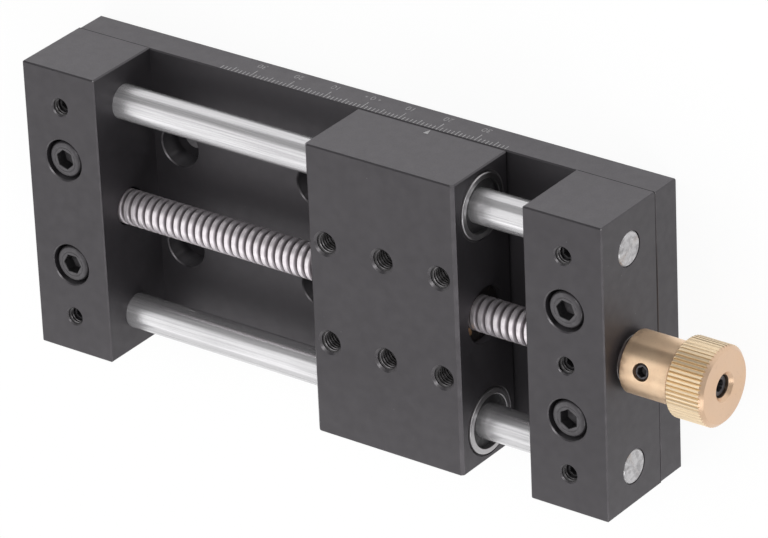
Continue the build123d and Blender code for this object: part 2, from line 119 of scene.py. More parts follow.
# Hexagon sockets: their broken mouth, and the drilled bottom as shares of the key
SOCKET_SIDES = 6
SOCKET_BREAK = {"wider": 0.24, "deep": 0.1}
DRILL_POINT = {"wide": 0.44, "step": 0.05, "deep": 0.22, "tip": 0.1}

# Cap screws. The head's rolled edge is given in from its side and down from its top,
# and the ring marked on its top by radius and depth
CAP_HEAD = {"radius": 4.25, "height": 5.0, "foot": 0.2, "key": 4.0, "deep": 2.6}
CAP_SHANK = {"radius": 2.45, "length": 20.0, "tip": 1.715, "taper": 0.7}
CAP_EDGE = [(0.0, 0.6), (0.1, 0.32), (0.3, 0.1), (0.5, 0.0)]
CAP_RING_MARK = [(3.0, 0.0), (2.92, 0.07), (2.82, 0.07), (2.74, 0.0)]
CAP_KEY_TURN = {("far", -1): 30.0, ("far", 1): 12.0, ("knob", -1): 0.0, ("knob", 1): 21.0}

# Headless screws. Point and top are given by how much wider and how much higher they are
# than the core at the screw's foot and at its top
GRUB = {"core": 1.59, "key": 2.0, "deep": 1.8, "thread_start": 0.45, "top": 0.3}
GRUB_POINT = [(-0.5, 0.0), (0.0, 0.4)]
GRUB_TOP = [(0.0, -0.3), (-0.12, 0.0)]
GRUB_RIDGE = [(1.54, -0.28), (1.95, -0.06), (1.95, 0.06), (1.54, 0.28)]
KNOB_SET = {"length": 4.0, "lean": 15.0, "gap": 0.02}
LOCK_TURNS_BELOW = 2.5

# Scale on the plate's ruled edge, and the pointer on the carriage
SCALE_ZERO = 0.45
SCALE_REACH = 38
SCALE_EDGE = PLATE.z - 0.3
MARK_WIDTH = 0.2
MARK_LENGTHS = {10: 3.4, 5: 2.4, 1: 1.75}
PRINT_LIFT = 0.002
PRINT_THICKNESS = 0.008
NUMBER_HEIGHT = 1.7
NUMBER_SHARE_OF_FONT = 0.7
NUMBER_Z = 2.35
NUMBER_SHIFT = -0.3
ZERO_TEXT = "\u2022 0 \u2022"
POINTER_WIDTH = 1.2
POINTER_TIP = 0.5
POINTER_LENGTH = 1.9
POINTER_SINK = 0.02

# Specks in a finish: the share of places without one, and the part of a speck at full strength
SPECK_FREE = 0.72
SPECK_CORE = 0.6

# Painted shade in the seams: how far above an edge it begins, its widths, how far below the carriage its
# own is set, and where one gives way to the other, from the blocks' inner faces
SEAM_START = (0.005, 0.012)
BLOCK_SEAM_WIDTH = 0.26
CARRIAGE_SEAM_WIDTH = 0.5
CARRIAGE_SEAM_DROP = 0.02
SEAM_OUTSIDE = (0.3, 0.5)
SEAM_INSIDE = (-0.5, -0.3)

# Where dust, painted shade on the bushings, stains, the knob's tones and the painted shade in its knurl and
# bore begin and end, measured from the plate's edge, the axis, the hub's start, the head's start, the
# knurl's root and the journal
DUSTY = (2.0, 20.0)
SHADED_SIDE = (12.0, 19.0)
SHADED_HEIGHT = (1.0, -3.0)
STAINED_BY_BLOCK = (0.3, 2.4)
STAINED_BY_HEAD = (-2.6, -0.6)
KNURLED = (-0.14, -0.08)
DARK_GROOVES = (-0.04, 0.16)
DARK_BORE = (0.08, 0.14)

# Turn of stretched reflections, as a share of a whole turn
ACROSS_GROOVES = 0.25

# Meshes: points round a circle, turns in which a ridge runs out, and the angle that stays sharp
STEPS = 48
FADE_TURNS = 0.5
SHARP_ANGLE = 35.0

# Floor, with its half width in metres, and world, dimmer over two stretches.
# A direction is in a stretch by how far it turns towards the one called across
FLOOR = {"half": 6.0, "paper": (0.8, 0.8, 0.8), "white": 1.06, "share": 0.86}
SKY_LEVEL = 0.95
WALL = {"across": (0.0, -0.342, 0.94), "from": 0.4, "to": 0.33, "level": 0.36}
ROOM = {"across": (0.65, 0.1, 0.753), "from": 0.25, "to": 0.8, "level": 0.4}

# Soft lights turned to the middle: name, place and size in metres, and watts
LIGHTS = [("strip", (-0.7, 0.2, 1.08), (1.2, 0.36), 0.68),
          ("overhead", (0.252, 0.218, 1.257), (0.5, 0.5), 0.95),
          ("key", (-0.697, -0.602, 0.918), (0.5, 0.5), 0.48),
          ("front", (0.697, 0.602, 0.918), (0.4, 0.4), 2.0),
          ("edge", (0.917, -0.602, 0.697), (0.46, 0.46), 1.9)]

# Camera at the photograph's angle and distance
CAMERA = {"place": (703.3, 600.43, 926.83), "right": (0.8079, -0.0394, -0.588),
          "back": (0.5361, 0.4634, 0.7056), "sensor": 36.0, "lens": 280.24, "clip": (0.05, 20.0)}


def beyond(start, gaps):
    """Places at some gaps from a start."""
    return [start + gap for gap in gaps]


def feed(tree, value, socket):
    """Link a socket, or set a plain value or colour."""
    if isinstance(value, bpy.types.NodeSocket):
        tree.links.new(value, socket)
    elif hasattr(socket.default_value, "__len__") and len(socket.default_value) == 4:
        socket.default_value = (*value, 1)
    else:
        socket.default_value = value


def math_node(tree, operation, *values):
    """The result of one operation on sockets and numbers."""
    node = tree.nodes.new("ShaderNodeMath")
    node.operation = operation
    for value, socket in zip(values, node.inputs):
        feed(tree, value, socket)
    return node.outputs[0]


def range_node(tree, value, low, high, to_low=0.0, to_high=1.0):
    """Map low..high to to_low..to_high, held at both ends."""
    node = tree.nodes.new("ShaderNodeMapRange")
    for name, number in (("From Min", low), ("From Max", high), ("To Min", to_low), ("To Max", to_high)):
        node.inputs[name].default_value = number
    feed(tree, value, node.inputs["Value"])
    return node.outputs["Result"]


def blend_shaders(tree, share, first, second, surface):
    """Show the first shader, and the second by its share."""
    mix = tree.nodes.new("ShaderNodeMixShader")
    tree.links.new(share, mix.inputs["Fac"])
    tree.links.new(first, mix.inputs[1])
    tree.links.new(second, mix.inputs[2])
    tree.links.new(mix.outputs[0], surface)


class Finish:
    """A procedural material under construction. Its places and scales are in millimetres."""

    def __init__(self, name, color, metallic=0.0, roughness=0.5, specular=0.5):
        self.material = bpy.data.materials.new(name)
        self.material.use_nodes = True
        self.tree = self.material.node_tree
        self.shader = self.tree.nodes["Principled BSDF"]
        self.shader.inputs["Metallic"].default_value = metallic
        self.shader.inputs["Specular IOR Level"].default_value = specular
        self.shader.inputs["Roughness"].default_value = roughness
        self.shader.inputs["Base Color"].default_value = (*color, 1)
        self.place = self.place_in_millimetres()
        self.color = color

    def place_in_millimetres(self):
        """The place on the object, so that every scale is per millimetre."""
        source = self.tree.nodes.new("ShaderNodeTexCoord")
        scaled = self.tree.nodes.new("ShaderNodeVectorMath")
        scaled.operation = "SCALE"
        scaled.inputs["Scale"].default_value = 1 / MM
        self.tree.links.new(source.outputs["Object"], scaled.inputs[0])
        return scaled.outputs[0]

    def put(self, value, socket):
        """Link a socket, or set a plain value or colour."""
        feed(self.tree, value, socket)

    def math(self, operation, *values):
        """The result of one operation on sockets and numbers."""
        return math_node(self.tree, operation, *values)

    def times(self, first, *others):
        """The product of shares."""
        for other in others:
            first = self.math("MULTIPLY", first, other)
        return first

    def ramp(self, value, low, high, to_low=0.0, to_high=1.0):
        """Map low..high to to_low..to_high, held at both ends."""
        return range_node(self.tree, value, low, high, to_low, to_high)

    def split(self, vector):
        """The X, Y and Z parts of a vector."""
        node = self.tree.nodes.new("ShaderNodeSeparateXYZ")
        self.put(vector, node.inputs[0])
        return node.outputs

    def stretched(self, stretch):
        """The place, stretched along the axes for grain that runs one way."""
        node = self.tree.nodes.new("ShaderNodeVectorMath")
        node.operation = "MULTIPLY"
        self.put(self.place, node.inputs[0])
        node.inputs[1].default_value = stretch
        return node.outputs[0]

    def noise(self, scale, detail, vector=None):
        """Noise over the place, or over another vector."""
        node = self.tree.nodes.new("ShaderNodeTexNoise")
        node.inputs["Scale"].default_value = scale
        node.inputs["Detail"].default_value = detail
        self.put(vector or self.place, node.inputs["Vector"])
        return node.outputs["Fac"]

    def patches(self, scale, detail, low, high, least=0.0, most=1.0):
        """Soft patches, from the least value where the noise is low to the most where it is high."""
        return self.ramp(self.noise(scale, detail), low, high, least, most)

    def specks(self, scale, size):
        """Small round specks, at most one to each 1 / scale millimetres."""
        node = self.tree.nodes.new("ShaderNodeTexVoronoi")
        node.inputs["Scale"].default_value = scale
        self.put(self.place, node.inputs["Vector"])
        chosen = self.math("GREATER_THAN", self.split(node.outputs["Color"])[0], SPECK_FREE)
        near = self.ramp(node.outputs["Distance"], size * SPECK_CORE, size, 1.0, 0.0)
        return self.times(near, chosen)

    def tint(self, share, color):
        """Blend another colour over what is there."""
        node = self.tree.nodes.new("ShaderNodeMix")
        node.data_type = "RGBA"
        self.put(share, node.inputs["Factor"])
        self.put(self.color, node.inputs["A"])
        self.put(color, node.inputs["B"])
        self.color = node.outputs["Result"]
        self.put(self.color, self.shader.inputs["Base Color"])

    def rough(self, value):
        """Set how rough the surface is, all over or from place to place."""
        self.put(value, self.shader.inputs["Roughness"])

    def bump(self, height, depth):
        """Raise the surface by height times depth."""
        node = self.tree.nodes.new("ShaderNodeBump")
        node.inputs["Distance"].default_value = depth * MM
        self.put(height, node.inputs["Height"])
        self.put(node.outputs["Normal"], self.shader.inputs["Normal"])

    def turned(self, share):
        """Stretch reflections across fine grooves that run round the X axis."""
        node = self.tree.nodes.new("ShaderNodeTangent")
        node.direction_type = "RADIAL"
        node.axis = "X"
        self.put(node.outputs["Tangent"], self.shader.inputs["Tangent"])
        self.put(share, self.shader.inputs["Anisotropic"])
        self.shader.inputs["Anisotropic Rotation"].default_value = ACROSS_GROOVES

    def axis_radius(self):
        """Distance from the lead screw's axis."""
        parts = self.split(self.place)
        rise = self.math("SUBTRACT", parts[2], AXIS_HEIGHT)
        squares = [self.math("POWER", part, 2.0) for part in (parts[1], rise)]
        return self.math("SQRT", self.math("ADD", *squares))

    def normal(self):
        """The parts of the surface's direction along X, Y and Z."""
        node = self.tree.nodes.new("ShaderNodeTexCoord")
        return self.split(node.outputs["Normal"])

    def facing(self, axis):
        """How squarely the surface faces along one axis, from 0 to 1."""
        return self.math("ABSOLUTE", self.normal()[axis])

    def lower_line(self, height, bottom, wide):
        """A line just above a lower edge, from 0 to 1."""
        above = self.ramp(height, *beyond(bottom, SEAM_START))
        return self.times(above, self.ramp(height, bottom + wide / 2, bottom + wide, 1.0, 0.0))


def seam_shade_line(finish):
    """A thin line of painted shade in the outer seam below the end blocks, and along the carriage's lower
    edge.
    """
    along, _, height = finish.split(finish.place)
    off_middle = finish.math("ABSOLUTE", along)
    outside = finish.ramp(off_middle, *beyond(BLOCK_INNER_X, SEAM_OUTSIDE))
    inside = finish.ramp(off_middle, *beyond(BLOCK_INNER_X, SEAM_INSIDE), 1.0, 0.0)
    below_block = finish.lower_line(height, PLATE.z, BLOCK_SEAM_WIDTH)
    below_carriage = finish.lower_line(height, CARRIAGE_LOW.z - CARRIAGE_SEAM_DROP, CARRIAGE_SEAM_WIDTH)
    return finish.math("MAXIMUM", finish.times(below_block, outside), finish.times(below_carriage, inside))


def painted_mouth_highlights(finish, across, aside, above):
    """Painted highlights: paler where the mouths of holes are broken, and brighter still on the side of
    them that looks towards +X and +Y.
    """
    cone = finish.times(across, aside, above)
    finish.tint(finish.ramp(cone, 0.04, 0.15), (0.09, 0.086, 0.09))
    toward_x, toward_y, up = finish.normal()
    # Painted highlight on the side of each mouth that looks towards +X and +Y
    worn = finish.times(finish.math("MINIMUM", toward_x, toward_y), up)
    finish.tint(finish.ramp(worn, 0.26, 0.34, 0.0, 0.85), (0.32, 0.31, 0.32))


def anodised():
    """Fine matt black anodising over milled aluminium, with painted light that makes the faces looking
    along Y paler, and painted highlights where holes were broken.

    Painted shade makes its outer seams black; they are set as metal so that they reflect nothing.
    """
    finish = Finish("black_anodised", (0.0155, 0.0144, 0.0166), roughness=0.55, specular=1.0)
    finish.shader.inputs["Specular Tint"].default_value = (1.0, 0.945, 1.0, 1.0)
    finish.tint(finish.patches(0.05, 4.0, 0.35, 0.68), (0.0185, 0.0172, 0.0196))
    # Painted light: faces that look along Y are made paler.
    finish.tint(finish.ramp(finish.facing(1), 0.8, 0.95), (0.094, 0.09, 0.097))
    finish.tint(finish.patches(4.5, 2.0, 0.35, 0.75, most=0.3), (0.0115, 0.0107, 0.0123))
    finish.tint(finish.specks(0.22, 0.03), (0.09, 0.088, 0.09))
    across, aside, above = (finish.facing(axis) for axis in range(3))
    painted_mouth_highlights(finish, across, aside, above)
    side = finish.split(finish.place)[1]
    dusty = finish.ramp(side, *beyond(PLATE_LOW.y, DUSTY), 0.5, 0.0)
    finish.tint(dusty, (0.038, 0.036, 0.039))
    # Painted shade: a black line in the outer seams below the blocks and along the carriage's lower edge.
    seam = seam_shade_line(finish)
    finish.tint(seam, (0.003, 0.003, 0.003))
    finish.put(seam, finish.shader.inputs["Metallic"])
    squarest = finish.math("MAXIMUM", finish.math("MAXIMUM", across, aside), above)
    broken_edge = finish.ramp(squarest, 0.78, 0.7)
    matt = finish.patches(0.4, 4.0, 0.3, 0.7, 0.5, 0.58)
    finish.rough(finish.math("SUBTRACT", matt, finish.times(broken_edge, 0.14)))
    finish.bump(finish.noise(6.0, 3.0), 0.01)
    return finish.material


def oily_thread():
    """The sides of a tapped thread, dark with oil."""
    finish = Finish("oily_thread", (0.028, 0.025, 0.026), roughness=0.42, specular=0.7)
    finish.tint(finish.patches(0.8, 3.0, 0.45, 0.7), (0.04, 0.036, 0.037))
    finish.rough(finish.patches(1.7, 3.0, 0.3, 0.7, 0.34, 0.5))
    return finish.material


def rubbed_and_highlighted_thread():
    """The crest and upper side of a tapped thread, rubbed towards bare metal in holes that were used and
    partly a painted highlight, with painted shade deeper down.
    """
    finish = Finish("rubbed_and_highlighted_thread", (0.36, 0.345, 0.357), metallic=1.0, roughness=0.25)
    finish.tint(finish.patches(0.4, 2.0, 0.4, 0.65), (0.16, 0.153, 0.158))
    finish.tint(finish.patches(0.06, 1.0, 0.38, 0.6, most=0.85), (0.05, 0.048, 0.05))
    # Painted shade: darker further below the carriage's top
    height = finish.split(finish.place)[2]
    deep = finish.ramp(height, CARRIAGE_HIGH.z - 2.8, CARRIAGE_HIGH.z - 0.9, 0.9, 0.0)
    finish.tint(deep, (0.03, 0.028, 0.029))
    finish.rough(finish.patches(1.7, 3.0, 0.3, 0.7, 0.2, 0.32))
    return finish.material


def chromed():
    """Ground and chromed shaft, with cut ends that were turned and then tumbled."""
    finish = Finish("chromed_shaft", (0.82, 0.81, 0.826), metallic=0.74, roughness=0.3)
    finish.turned(1.0)
    ends = finish.ramp(finish.facing(0), 0.6, 0.8)
    finish.tint(finish.times(ends, 0.75), (0.66, 0.65, 0.66))
    streaks = finish.noise(3.0, 3.0, finish.stretched((0.015, 1.0, 1.0)))
    finish.tint(finish.ramp(streaks, 0.35, 0.7, 0.0, 0.5), (0.5, 0.495, 0.505))
    etched = finish.patches(0.8, 5.0, 0.46, 0.62, most=0.6)
    finish.tint(finish.times(ends, etched), (0.36, 0.35, 0.36))
    handling = finish.noise(0.12, 5.0, finish.stretched((0.3, 1.0, 1.0)))
    polish = finish.ramp(handling, 0.35, 0.7, 0.19, 0.27)
    finish.rough(finish.math("ADD", polish, finish.times(ends, 0.2)))
    finish.bump(finish.times(finish.noise(1.2, 2.0), ends), 0.006)
    return finish.material


def turned_steel():
    """Rolled and turned steel, dark with grease and painted shade low in the thread, and with painted shade
    on the end in the knob.
    """
    finish = Finish("turned_steel", (1.0, 0.94, 0.975), metallic=0.76, roughness=0.3)
    finish.turned(0.7)
    along = finish.split(finish.place)[0]
    radius = finish.axis_radius()
    off_middle = finish.math("ABSOLUTE", finish.math("SUBTRACT", along, (FAR_SHOULDER + KNOB_SHOULDER) / 2))
    half = (KNOB_SHOULDER - FAR_SHOULDER) / 2
    threaded = finish.ramp(off_middle, half - 0.5, half - 0.3, 1.0, 0.0)
    # Grease and painted shade in the thread's grooves
    grease_and_shade = finish.ramp(radius, *GREASE_AND_SHADE_RADII, 0.92, 0.0)
    finish.tint(finish.times(grease_and_shade, threaded), (0.3, 0.276, 0.29))
    finish.tint(finish.patches(0.7, 4.0, 0.52, 0.74, most=0.12), (0.6, 0.54, 0.54))
    # Painted shade on the end inside the knob, darker still in its centre hole
    shade_in_knob = finish.ramp(along, SCREW_HIGH.x - 3.0, SCREW_HIGH.x - 2.5, 0.0, 0.95)
    finish.tint(shade_in_knob, (0.05, 0.049, 0.055))
    centre = finish.ramp(radius, CENTRE_HOLE_RADIUS - 0.1, CENTRE_HOLE_RADIUS, 1.0, 0.0)
    finish.tint(finish.times(shade_in_knob, centre), (0.008, 0.008, 0.009))
    finish.rough(finish.patches(1.3, 4.0, 0.3, 0.7, 0.3, 0.44))
    finish.bump(finish.noise(2.5, 4.0), 0.016)
    return finish.material


def bearing_steel():
    """Ground steel of the bushings and ball bearings, with painted shade low on the ruled edge's side."""
    finish = Finish("bearing_steel", (0.47, 0.46, 0.468), metallic=0.92, roughness=0.34)
    finish.tint(finish.patches(0.5, 3.0, 0.45, 0.75, most=0.3), (0.4, 0.39, 0.39))
    _, side, height = finish.split(finish.place)
    # Painted shade on the lower part, on the ruled edge's side
    low = finish.ramp(height, *beyond(AXIS_HEIGHT, SHADED_HEIGHT))
    shade_by_ruled_edge = finish.ramp(side, *SHADED_SIDE, 0.0, 0.85)
    finish.tint(finish.times(low, shade_by_ruled_edge), (0.09, 0.088, 0.09))
    finish.rough(finish.patches(1.0, 2.0, 0.3, 0.7, 0.32, 0.42))
    finish.bump(finish.noise(5.0, 2.0), 0.003)
    return finish.material


def black_oxide():
    """Black oxide on the screws, rubbed a little where a key has turned."""
    finish = Finish("black_oxide", (0.088, 0.083, 0.089), metallic=0.55, roughness=0.36)
    finish.tint(finish.patches(0.7, 5.0, 0.5, 0.72, most=0.5), (0.13, 0.127, 0.132))
    finish.tint(finish.specks(0.9, 0.06), (0.26, 0.255, 0.26))
    finish.rough(finish.patches(1.2, 4.0, 0.3, 0.7, 0.28, 0.42))
    finish.bump(finish.noise(5.0, 3.0), 0.01)
    return finish.material


def socket_oxide_in_painted_shade():
    """Black oxide in the sockets of the screws, darkened with painted shade."""
    finish = Finish("socket_oxide_in_painted_shade", (0.026, 0.025, 0.027), metallic=0.3, roughness=0.4)
    finish.tint(finish.patches(1.5, 4.0, 0.45, 0.7, most=0.6), (0.06, 0.058, 0.061))
    finish.rough(finish.patches(1.9, 3.0, 0.3, 0.7, 0.3, 0.5))
    finish.bump(finish.noise(5.0, 2.0), 0.006)
    return finish.material


def hub_stains(finish, along):
    """Brown blotches on the hub, by the block and by the head."""
    by_block = finish.ramp(along, *beyond(HUB_START, STAINED_BY_BLOCK), 0.75, 0.0)
    by_head = finish.ramp(along, *beyond(HEAD_START, STAINED_BY_HEAD), 0.0, 0.35)
    off_head = finish.ramp(along, HEAD_START - 0.1, HEAD_START, 1.0, 0.0)
    blotches = finish.times(finish.patches(0.5, 3.0, 0.4, 0.6), off_head)
    finish.tint(finish.times(finish.math("MAXIMUM", by_block, by_head), blotches), (0.42, 0.27, 0.17))


def knurl_with_painted_shade(finish, radius, sides):
    """Bright knurl, with painted shade in its grooves and in the bore."""
    knurled = finish.times(finish.ramp(radius, *beyond(KNURL_ROOT, KNURLED)), sides)
    finish.tint(knurled, (1.0, 0.8, 0.55))
    # Painted shade in the knurl's grooves
    grooves = finish.ramp(radius, *beyond(KNURL_ROOT, DARK_GROOVES), 0.65, 0.0)
    finish.tint(finish.times(knurled, grooves), (0.46, 0.3, 0.16))
    # Painted shade in the bore
    bore = finish.ramp(radius, *beyond(JOURNAL_RADIUS, DARK_BORE), 0.9, 0.0)
    finish.tint(bore, (0.05, 0.038, 0.032))


def tool_marks(finish, radius, ends, sides):
    """Fine rings that a lathe leaves, by radius on the ends and along the travel on the sides."""
    rings = finish.noise(7.0, 3.0, radius)
    lengthwise = finish.noise(5.0, 3.0, finish.stretched((1.0, 0.02, 0.02)))
    return finish.math("ADD", finish.times(rings, ends), finish.times(lengthwise, sides))


def brass():
    """Turned brass with fine tool marks, a little tarnish, a bright knurl, and painted shade in the knurl's
    grooves and in the bore.
    """
    finish = Finish("brass", (0.97, 0.71, 0.48), metallic=0.86, roughness=0.38)
    facing_out = finish.facing(0)
    finish.turned(finish.ramp(facing_out, 0.5, 0.65, 0.9, 0.35))
    ends = finish.ramp(facing_out, 0.5, 0.65)
    sides = finish.math("SUBTRACT", 1.0, ends)
    finish.tint(ends, (0.77, 0.544, 0.38))
    finish.tint(finish.patches(0.22, 5.0, 0.45, 0.7, most=0.5), (0.8, 0.545, 0.355))
    along = finish.split(finish.place)[0]
    hub_stains(finish, along)
    finish.tint(finish.patches(1.6, 4.0, 0.6, 0.72, most=0.22), (0.55, 0.37, 0.24))
    radius = finish.axis_radius()
    knurl_with_painted_shade(finish, radius, sides)
    marks = tool_marks(finish, radius, ends, sides)
    on_head = finish.ramp(along, HEAD_START - 0.3, HEAD_START, 0.0, 0.04)
    finish.rough(finish.math("ADD", finish.ramp(marks, 0.3, 0.7, 0.29, 0.39), on_head))
    finish.bump(marks, 0.008)
    return finish.material


def greased_and_shaded_brass():
    """Brass of the lead nut, dark with grease and painted shade, bare in a few spots, with a painted
    highlight at one place on its rim.
    """
    finish = Finish("greased_and_shaded_brass", (0.062, 0.054, 0.053), metallic=0.8, roughness=0.36)
    finish.tint(finish.patches(0.45, 3.0, 0.64, 0.7), (0.4, 0.27, 0.17))
    along, side, height = finish.split(finish.place)
    # Painted highlight at one place on the nut's rim
    aside = finish.math("ABSOLUTE", finish.math("SUBTRACT", side, NUT_GLINT["side"]))
    above = finish.math("ABSOLUTE", finish.math("SUBTRACT", height, AXIS_HEIGHT + NUT_GLINT["above"]))
    off_glint = finish.math("ADD", finish.math("MAXIMUM", aside, above), finish.noise(1.2, 3.0))
    bare = finish.ramp(off_glint, NUT_GLINT["wide"], NUT_GLINT["wide"] + 0.3, 1.0, 0.0)
    on_face = finish.ramp(along, NUT_MOUTH - 1.0, NUT_MOUTH - 0.8)
    finish.tint(finish.times(bare, on_face), (0.75, 0.45, 0.24))
    finish.rough(finish.patches(0.9, 4.0, 0.3, 0.7, 0.25, 0.45))
    finish.bump(finish.noise(1.5, 3.0), 0.03)
    return finish.material


def seal_rubber():
    """Dull black seal lips, grey with dust."""
    finish = Finish("seal_rubber", (0.035, 0.034, 0.036), roughness=0.55)
    finish.tint(finish.patches(1.2, 5.0, 0.5, 0.7, most=0.6), (0.1, 0.098, 0.1))
    finish.bump(finish.noise(4.0, 3.0), 0.02)
    return finish.material


def nylon():
    """Moulded nylon of the ball cages and the lock pad."""
    finish = Finish("nylon", (0.62, 0.6, 0.55), roughness=0.45)
    finish.tint(finish.patches(0.8, 3.0, 0.4, 0.7, most=0.5), (0.5, 0.47, 0.41))
    finish.bump(finish.noise(3.0, 2.0), 0.01)
    return finish.material


def ink(name, fresh, worn, share):
    """Pale ink, worn thin in places."""
    finish = Finish(name, fresh, roughness=0.6)
    finish.tint(finish.patches(2.2, 4.0, 0.45, 0.62, most=share), worn)
    return finish.material


FINISHES = {
    "black_anodised": anodised(),
    "chromed_shaft": chromed(),
    "turned_steel": turned_steel(),
    "bearing_steel": bearing_steel(),
    "black_oxide": black_oxide(),
    "brass": brass(),
    "seal_rubber": seal_rubber(),
    "nylon": nylon(),
}
THREAD_FINISH = oily_thread()
RUBBED_AND_HIGHLIGHT_FINISH = rubbed_and_highlighted_thread()
SOCKET_FINISH = socket_oxide_in_painted_shade()
NUT_FINISH = greased_and_shaded_brass()
MARK_INK = ink("mark_ink", (0.66, 0.65, 0.66), (0.34, 0.335, 0.34), 0.7)
NUMBER_INK = ink("number_ink", (0.5, 0.49, 0.5), (0.2, 0.195, 0.2), 0.8)

# The frame's own nodes take their slot's finish, and the nut its grease and painted shade
for subpart in frame["record"]["subparts"]:
    finish = NUT_FINISH if subpart["node"] == "lead_nut" else FINISHES[subpart["material_slot"]]
    materials = frame["nodes"][subpart["node"]].data.materials
    materials.clear()
    materials.append(finish)

# Axes that pieces are built along: local Z becomes the named direction
UPRIGHT = Matrix.Identity(4)
TRAVEL = Matrix(((0, 0, 1, 0), (1, 0, 0, 0), (0, 1, 0, 0), (0, 0, 0, 1)))
ON_AXIS = Matrix.Translation((0, 0, AXIS_HEIGHT)) @ TRAVEL


def standing(x, y, z):
    """Local Z up, from a point."""
    return Matrix.Translation((x, y, z))


def add_object(name, data):
    """A new object in the scene."""
    made = bpy.data.objects.new(name, data)
    bpy.context.scene.collection.objects.link(made)
    return made


def face_outward(mesh):
    """Turn all faces outward."""
    turner = bmesh.new()
    turner.from_mesh(mesh)
    bmesh.ops.recalc_face_normals(turner, faces=turner.faces)
    turner.to_mesh(mesh)
    turner.free()


class Shape:
    """Points and faces in millimetres for one mesh. Second holds the faces of a second finish."""

    def __init__(self):
        self.points = []
        self.faces = []
        self.second = set()

    def add(self, points, faces, place=UPRIGHT):
        """Add points and the faces between them, at a place."""
        first = len(self.points)
        self.points += [place @ Vector(point) for point in points]
        self.faces += [[first + index for index in face] for face in faces]

    def loops(self, loops, place=UPRIGHT, second_rows=(), second_sides=()):
        """Skin rings of equally many points and cap the ends. Some rows or sides take the second finish."""
        count = len(loops[0])
        faces = []
        for row in range(len(loops) - 1):
            low, high = row * count, (row + 1) * count
            for here in range(count):
                after = (here + 1) % count
                if row in second_rows or here in second_sides:
                    self.second.add(len(self.faces) + len(faces))
                faces.append([low + here, low + after, high + after, high + here])
        faces.append(list(reversed(range(count))))
        faces.append(list(range((len(loops) - 1) * count, len(loops) * count)))
        self.add([point for loop in loops for point in loop], faces, place)

    def ridge(self, profile, pitch, start, stop, place=UPRIGHT, second_sides=()):
        """A thread ridge up a right-hand helix, from a profile that starts at its foot.

        Its ends run out into the foot.
        """
        foot = profile[0][0]
        count = round((stop - start) / pitch * STEPS)
        fade_steps = FADE_TURNS * STEPS
        loops = []
        for step in range(count + 1):
            angle = math.tau * step / STEPS
            share = min(1.0, step / fade_steps, (count - step) / fade_steps)
            loop = []
            for radius, height in profile:
                reach = foot + (radius - foot) * share
                rise = start + pitch * step / STEPS + height
                loop.append((reach * math.cos(angle), reach * math.sin(angle), rise))
            loops.append(loop)
        self.loops(loops, place, second_sides=second_sides)

    def piece(self, name, slot, body, replaces=(), material=None, second=None):
        """Make the mesh object, finish it and let it ride on its body."""
        mesh = bpy.data.meshes.new(name)
        mesh.from_pydata([point * MM for point in self.points], [], self.faces)
        face_outward(mesh)
        mesh.shade_smooth()
        mesh.set_sharp_from_angle(angle=math.radians(SHARP_ANGLE))
        mesh.materials.append(material or FINISHES[slot])
        if second:
            mesh.materials.append(second)
            for index in self.second:
                mesh.polygons[index].material_index = 1
        made = add_object(name, mesh)
        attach(made, body)
        if replaces:
            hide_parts(*replaces)


def circle(radius, height):
    """A ring of points at a height."""
    angles = [math.tau * step / STEPS for step in range(STEPS)]
    return [(radius * math.cos(angle), radius * math.sin(angle), height) for angle in angles]


def hexagon(across, height, turn=0.0):
    """A hexagon with as many points as a circle, so that the two can be skinned together."""
    side = math.tau / SOCKET_SIDES
    loop = []
    for step in range(STEPS):
        angle = math.tau * step / STEPS
        off_middle = (angle - turn + side / 2) % side - side / 2
        reach = across / 2 / math.cos(off_middle)
        loop.append((reach * math.cos(angle), reach * math.sin(angle), height))
    return loop


def socket(across, top, deep, turn=0.0):
    """Rings of a hexagon socket, from its broken mouth down to the drilled bottom."""
    return [hexagon(across + SOCKET_BREAK["wider"], top, turn),
            hexagon(across, top - SOCKET_BREAK["deep"], turn),
            hexagon(across, top - deep, turn),
            circle(across * DRILL_POINT["wide"], top - deep - DRILL_POINT["step"]),
            circle(DRILL_POINT["tip"], top - deep - across * DRILL_POINT["deep"])]


def cap_screw(shape, place, turn):
    """A socket head screw, with the underside of its head at the place and a rolled edge."""
    radius, top, foot = CAP_HEAD["radius"], CAP_HEAD["height"], CAP_HEAD["foot"]
    shank, end = CAP_SHANK["radius"], -CAP_SHANK["length"]
    rings = [circle(CAP_SHANK["tip"], end), circle(shank, end + CAP_SHANK["taper"]), circle(shank, 0),
             circle(radius - foot, 0), circle(radius, foot)]
    rings += [circle(radius - inward, top - down) for inward, down in CAP_EDGE]
    rings += [circle(mark_radius, top - down) for mark_radius, down in CAP_RING_MARK]
    # The socket's walls take the second finish, which is painted shade
    walls = (len(rings), len(rings) + 1)
    shape.loops(rings + socket(CAP_HEAD["key"], top, CAP_HEAD["deep"], turn), place, walls)


def grub_screw(shape, place, length):
    """A headless screw standing on its point, with a ridged thread and a hexagon socket on top."""
    core = GRUB["core"]
    rings = [circle(core + wider, height) for wider, height in GRUB_POINT]
    rings += [circle(core + wider, length + height) for wider, height in GRUB_TOP]
    # The socket's inside takes the second finish, which is painted shade
    inside = range(len(rings), len(rings) + 4)
    shape.loops(rings + socket(GRUB["key"], length, GRUB["deep"]), place, inside)
    shape.ridge(GRUB_RIDGE, CLAMP_TAP[0], GRUB["thread_start"], length - GRUB["top"], place)


def tapped(shape, x, y, top, tap, deep):
    """Thread ridges on the wall of a tapped hole, down from its mouth, with the crest and upper side rubbed
    and partly a painted highlight.
    """
    pitch, wall, crest, mouth = tap
    profile = []
    for share, along in TAP_RIDGE:
        radius = wall - share * (wall - crest) if share else wall + FOOT_IN_WALL
        profile.append((radius, along * pitch))
    shape.ridge(profile, pitch, -deep, -mouth, standing(x, y, top), RUBBED_AND_HIGHLIGHT_SIDES)


